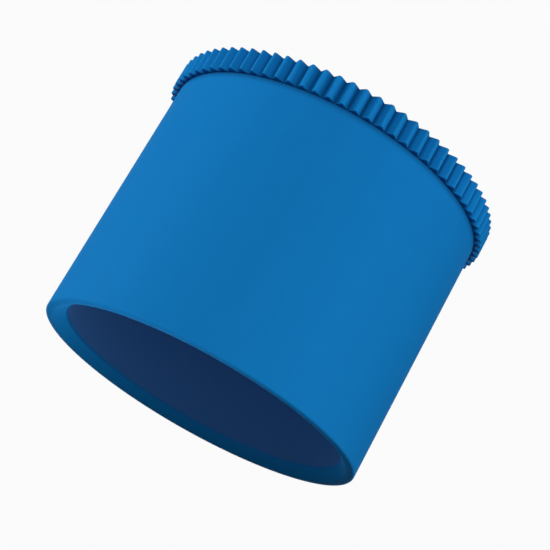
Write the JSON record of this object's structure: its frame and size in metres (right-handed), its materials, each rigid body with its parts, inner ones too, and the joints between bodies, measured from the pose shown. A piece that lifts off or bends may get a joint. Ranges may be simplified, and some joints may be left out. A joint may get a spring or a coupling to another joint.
{
  "type": "threaded protection cap",
  "caption": "One-piece plastic protection cap: a deep round skirt with a toothed grip collar at its closed end, screwed or pushed over a threaded end.",
  "frame": {"origin": "centre of the closed end's outer face, which the cap stands on", "axes": "+Z along the cap's axis, from the closed end to the open mouth"},
  "size_m": [0.0356, 0.0356, 0.0289],
  "materials": {
    "blue_polyethylene": "satin moulded blue polyethylene"
  },
  "bodies": {
    "root": {"cap": "blue_polyethylene"}
  },
  "joints": []
}
